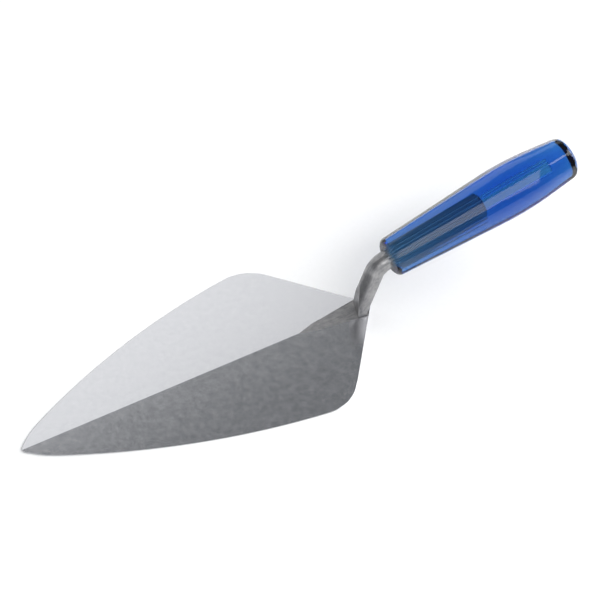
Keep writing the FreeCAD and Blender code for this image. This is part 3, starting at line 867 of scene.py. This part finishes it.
@dataclass
class Handle:
    """Turned barrel with eight flats, bored for the tang and left clear.

    The bore is a little smaller in radius than the tang, so that its wall hides in the steel and
    no film of air shows between the two.
    """

    length: float = 152.4 * MM
    front_radius: float = 14.2 * MM
    belly_radius: float = 19.4 * MM
    butt_radius: float = 15.3 * MM
    front_flat: float = 0.6 * MM
    belly_flat: float = 0.8 * MM
    butt_flat: float = 1.0 * MM
    belly_at: float = 100 * MM
    bow: float = 260 * MM
    front_round: float = 4 * MM
    butt_round: float = 6 * MM
    flats: int = 8
    crown: float = 0.16 * MM
    grip_radius: float = 6.3 * MM
    grip_short: float = 0.4 * MM
    pilot_radius: float = 3.5 * MM
    pilot_reach: float = 133 * MM
    drill_point: float = math.radians(118)
    columns: int = 16
    border_column: int = 6
    station: float = 5 * MM
    bore_steps: int = 8
    round_steps: int = 12
    least_flat: float = math.radians(3)
    hard_limit: float = 9.0
    line: RodLine = RodLine()
    finish: ClearBluePlastic = ClearBluePlastic()

    def build(self) -> Piece:
        """Turn the barrel, press in the flats, set it on the tang and dress it.

        Returns:
            The handle.
        """
        mesh = bmesh.new()
        verts = [mesh.verts.new((x, 0, radius)) for x, radius in self.outline()]
        edges = [mesh.edges.new(pair) for pair in zip(verts, verts[1:])]
        bmesh.ops.spin(mesh, geom=verts + edges, cent=(0, 0, 0), axis=(1, 0, 0),
                       angle=math.tau, steps=self.flats * self.columns, use_merge=True,
                       use_duplicate=False)
        bmesh.ops.remove_doubles(mesh, verts=mesh.verts, dist=WELD)
        self.press_flats(mesh)
        bmesh.ops.recalc_face_normals(mesh, faces=mesh.faces)
        sharpen(mesh, self.hard_limit)
        bmesh.ops.transform(mesh, verts=mesh.verts, matrix=(
            Matrix.Translation(self.line.handle_face)
            @ Matrix.Rotation(-self.line.handle_angle, 4, "Y")))
        settle(mesh, "handle")
        piece = to_object(mesh, "handle_clear")
        show(piece, "handle", self.finish.make())
        return piece

    def taper(self, front: float, belly: float, butt: float) -> Taper:
        """The barrel's lengthwise line, lowered by the given depths."""
        return Taper(self.front_radius - front, self.belly_radius - belly,
                     self.butt_radius - butt, self.length, self.belly_at, self.bow)

    def outline(self) -> list[tuple[float, float]]:
        """Work out the half outline that is turned.

        Returns:
            Points from the drilled point, out of the bore and round the barrel, to the centre of
            the butt, each as a place along the axis and a radius.
        """
        turned = self.taper(0, 0, 0)
        grip_end = self.line.tang_length - self.grip_short
        tip = self.pilot_reach + self.pilot_radius / math.tan(self.drill_point / 2)
        shares = [k / self.bore_steps for k in range(self.bore_steps + 1)]
        points = [(tip, 0.0)]
        points += [(self.pilot_reach + (grip_end - self.pilot_reach) * share, self.pilot_radius)
                   for share in shares]
        points += [(grip_end * (1 - share), self.grip_radius) for share in shares]
        front = self.rounding(turned, self.front_round, 0.0, 1)
        butt = self.rounding(turned, self.butt_round, self.length, -1)
        count = round((butt[-1][0] - front[-1][0]) / self.station)
        points += front
        for k in range(1, count):
            x = front[-1][0] + (butt[-1][0] - front[-1][0]) * k / count
            points.append((x, turned.at(x)))
        points += reversed(butt)
        points.append((self.length, 0.0))
        return points

    def rounding(self, line: Taper, radius: float, end: float, way: int
                 ) -> list[tuple[float, float]]:
        """Rounded edge between an end face and the barrel.

        Args:
            line: the barrel's line.
            radius: radius of the rounding.
            end: place of the end face.
            way: 1 if the barrel lies towards +X of the face, else -1.

        Returns:
            Points from the face to the barrel.
        """
        rim = line.at(end)
        tilt = math.atan((line.at(end + way * radius) - rim) / radius)
        centre = rim + radius * math.tan(tilt) - radius / math.cos(tilt)
        points = []
        for step in range(self.round_steps + 1):
            a = (math.pi / 2 - tilt) * step / self.round_steps
            points.append((end + way * radius * (1 - math.cos(a)),
                           centre + radius * math.sin(a)))
        return points

    def press_flats(self, mesh: Mesh) -> None:
        """Bring the turned skin in to the flats, with a row of vertices along each border.

        The columns of vertices up to border_column, on either side of a flat's middle, are drawn
        onto the flat, which is very slightly crowned. The others spread over the round skin that
        is left. The end faces and the bore stay as turned.

        Args:
            mesh: the turned barrel, along +X.
        """
        level = self.taper(self.front_flat, self.belly_flat, self.butt_flat)
        sector = math.tau / self.flats
        even_border = sector * self.border_column / self.columns
        outer = min(self.front_radius - self.front_round, self.butt_radius - self.butt_round)
        for vert in mesh.verts:
            x, radius = vert.co.x, math.hypot(vert.co.y, vert.co.z)
            if radius < outer - WELD:
                continue
            angle = math.atan2(vert.co.y, vert.co.z)
            nearest = round(angle / sector) * sector
            away = angle - nearest
            depth = level.at(x)
            border = max(self.least_flat, math.acos(min(1.0, depth / radius)))
            inside = abs(away) < even_border + WELD
            if inside:
                moved = away / even_border * border
            else:
                share = (abs(away) - even_border) / (sector / 2 - even_border)
                moved = math.copysign(border + share * (sector / 2 - border), away)
            new_radius = radius
            if inside and radius > depth:
                swell = self.crown * (1 - (moved / border) ** 2)
                new_radius = min(radius, (depth + swell) / math.cos(moved))
            angle = nearest + moved
            vert.co = Vector((x, new_radius * math.sin(angle), new_radius * math.cos(angle)))


# ---------------------------------------------------------------------------------------------
# The studio
# ---------------------------------------------------------------------------------------------

@dataclass(frozen=True)
class Softbox:
    """A rectangular soft light, aimed at a point, given by how bright its face is."""

    name: str
    centre: tuple[float, float, float]
    aim: tuple[float, float, float]
    width: float
    height: float
    radiance: float
    roll: float = 0.0

    def make(self) -> None:
        """Hang the light with its width along X, then rolled."""
        lamp = bpy.data.lights.new(self.name, "AREA")
        lamp.shape = "RECTANGLE"
        lamp.size, lamp.size_y = self.width, self.height
        lamp.energy = math.pi * self.width * self.height * self.radiance
        back = (Vector(self.centre) - Vector(self.aim)).normalized()
        side = Vector((1, 0, 0)) - back * back.x
        side.normalize()
        turn = Matrix((side, back.cross(side), back)).transposed().to_4x4()
        held = bpy.data.objects.new(self.name, lamp)
        held.matrix_world = (Matrix.Translation(self.centre) @ turn
                             @ Matrix.Rotation(self.roll, 4, "Z"))
        held.visible_camera = False
        bpy.context.scene.collection.objects.link(held)
        LOG.info("%s at radiance %.2f", self.name, self.radiance)


@dataclass
class Studio:
    """White paper, a panel behind, softboxes in front and to the side, and pale walls.

    A tilt is the angle above the floor at which a light is seen from the trowel. The walls fade
    into the dimmer ceiling between two rises of the line of sight.
    """

    floor_radius: float = 2.8
    floor_sides: int = 96
    ridge_tilt: float = math.radians(56.0)
    panel_distance: float = 2.2
    panel_width: float = 2.6
    panel_height: float = 1.7
    panel_x: float = -0.12
    panel_roll: float = math.radians(8.0)
    mirrored_x: float = 0.8
    panel_radiance: float = 1.22
    key_tilt: float = math.radians(48.5)
    key_distance: float = 3.0
    key_x: float = -0.55
    key_width: float = 3.7
    key_height: float = 1.55
    key_radiance: float = 2.5
    fill_way: tuple[float, float, float] = (0.80, -0.20, 0.57)
    fill_distance: float = 3.0
    fill_size: float = 3.0
    fill_radiance: float = 4.2
    wall: float = 1.15
    wall_rise: float = 0.05
    ceiling: float = 0.22
    ceiling_rise: float = 0.3
    room_colour: str = "#eff3f8"
    paper: SeamlessPaper = SeamlessPaper()

    def build(self) -> None:
        """Set up the floor, the lights and the room."""
        mesh = bmesh.new()
        bmesh.ops.create_circle(mesh, cap_ends=True, segments=self.floor_sides,
                                radius=self.floor_radius)
        floor = to_object(mesh, "paper_floor")
        floor.data.materials.append(self.paper.make())
        for softbox in (self.back_panel(), self.key(), self.fill()):
            softbox.make()
        self.make_room()
        bpy.context.scene.view_settings.view_transform = "Standard"

    def back_panel(self) -> Softbox:
        """Panel behind the trowel whose upper edge runs nearly along the blade's ridge.

        Mirrored in the blade, that edge falls along the ridge: the far facet mirrors the panel
        and the near facet the dark gap above it. The slight roll lets some light onto the near
        facet towards the point.

        Returns:
            The panel.
        """
        tilt = self.ridge_tilt
        edge = Vector((self.panel_x, math.cos(tilt), math.sin(tilt))) * self.panel_distance
        edge.x = self.panel_x
        down = Vector((0, math.sin(tilt), -math.cos(tilt)))
        lift = (self.mirrored_x - self.panel_x) * math.tan(self.panel_roll)
        centre = edge + down * (self.panel_height / 2 - lift)
        inwards = Vector((0, -math.cos(tilt), -math.sin(tilt)))
        return Softbox("back_panel", tuple(centre), tuple(centre + inwards),
                       self.panel_width, self.panel_height, self.panel_radiance,
                       self.panel_roll)

    def key(self) -> Softbox:
        """Large softbox above and in front of the trowel.

        One flat of the handle mirrors it, as a strip of light. It stops short on the handle's
        side, because it would otherwise light the stem that the near facet mirrors.

        Returns:
            The softbox.
        """
        centre = Vector((0, -math.cos(self.key_tilt), math.sin(self.key_tilt))
                        ) * self.key_distance
        centre.x = self.key_x
        return Softbox("front_softbox", tuple(centre), (self.key_x, 0, 0), self.key_width,
                       self.key_height, self.key_radiance)

    def fill(self) -> Softbox:
        """Softbox beyond the handle, which lights the paper."""
        centre = Vector(self.fill_way) * self.fill_distance
        return Softbox("side_softbox", tuple(centre), (0, 0, 0), self.fill_size,
                       self.fill_size, self.fill_radiance)

    def make_room(self) -> None:
        """Pale walls at eye level that darken overhead."""
        world = bpy.data.worlds.new("studio_room")
        bpy.context.scene.world = world
        recipe = Recipe(world)
        way = recipe.add("ShaderNodeTexCoord").outputs["Generated"]
        split = recipe.add("ShaderNodeSeparateXYZ", {"Vector": way})
        fade = recipe.add("ShaderNodeMapRange", {
            "Value": split.outputs["Z"], "From Min": self.wall_rise,
            "From Max": self.ceiling_rise, "To Min": self.wall, "To Max": self.ceiling},
            interpolation_type="SMOOTHSTEP")
        shine = recipe.add("ShaderNodeBackground", {
            "Color": linear(self.room_colour), "Strength": fade.outputs["Result"]})
        recipe.add("ShaderNodeOutputWorld", {"Surface": shine.outputs["Background"]})


@dataclass(frozen=True)
class Viewpoint:
    """The camera: where it looks from, and how far it is rolled."""

    target: tuple[float, float, float] = (-47.65 * MM, 6.87 * MM, 30 * MM)
    azimuth: float = math.radians(-40.33)
    elevation: float = math.radians(47.74)
    roll: float = math.radians(9.86)
    distance: float = 1923.0 * MM
    lens: float = 168.0
    sensor: float = 36.0

    def make(self) -> None:
        """Set up the scene's camera."""
        back = Vector((math.sin(self.azimuth) * math.cos(self.elevation),
                       -math.cos(self.azimuth) * math.cos(self.elevation),
                       math.sin(self.elevation)))
        right = Vector((math.cos(self.azimuth), math.sin(self.azimuth), 0))
        up = back.cross(right)
        level = Matrix((right, up, back)).transposed().to_4x4()
        camera = bpy.data.cameras.new("studio_camera")
        camera.lens, camera.sensor_width = self.lens, self.sensor
        held = bpy.data.objects.new("studio_camera", camera)
        held.matrix_world = (Matrix.Translation(Vector(self.target) + back * self.distance)
                             @ level @ Matrix.Rotation(self.roll, 4, "Z"))
        bpy.context.scene.collection.objects.link(held)
        bpy.context.scene.camera = held


def main() -> None:
    """Set up the camera, build the trowel piece by piece and log each piece's faces, then build the
    studio.
    """
    logging.basicConfig(level=logging.INFO, format="%(message)s")
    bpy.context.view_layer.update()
    Viewpoint().make()
    for part in (Blade(), Shank(), Handle()):
        piece = part.build()
        LOG.info("%s: %d faces", piece.name, len(piece.data.polygons))
    Studio().build()


if __name__ == "__main__":
    main()
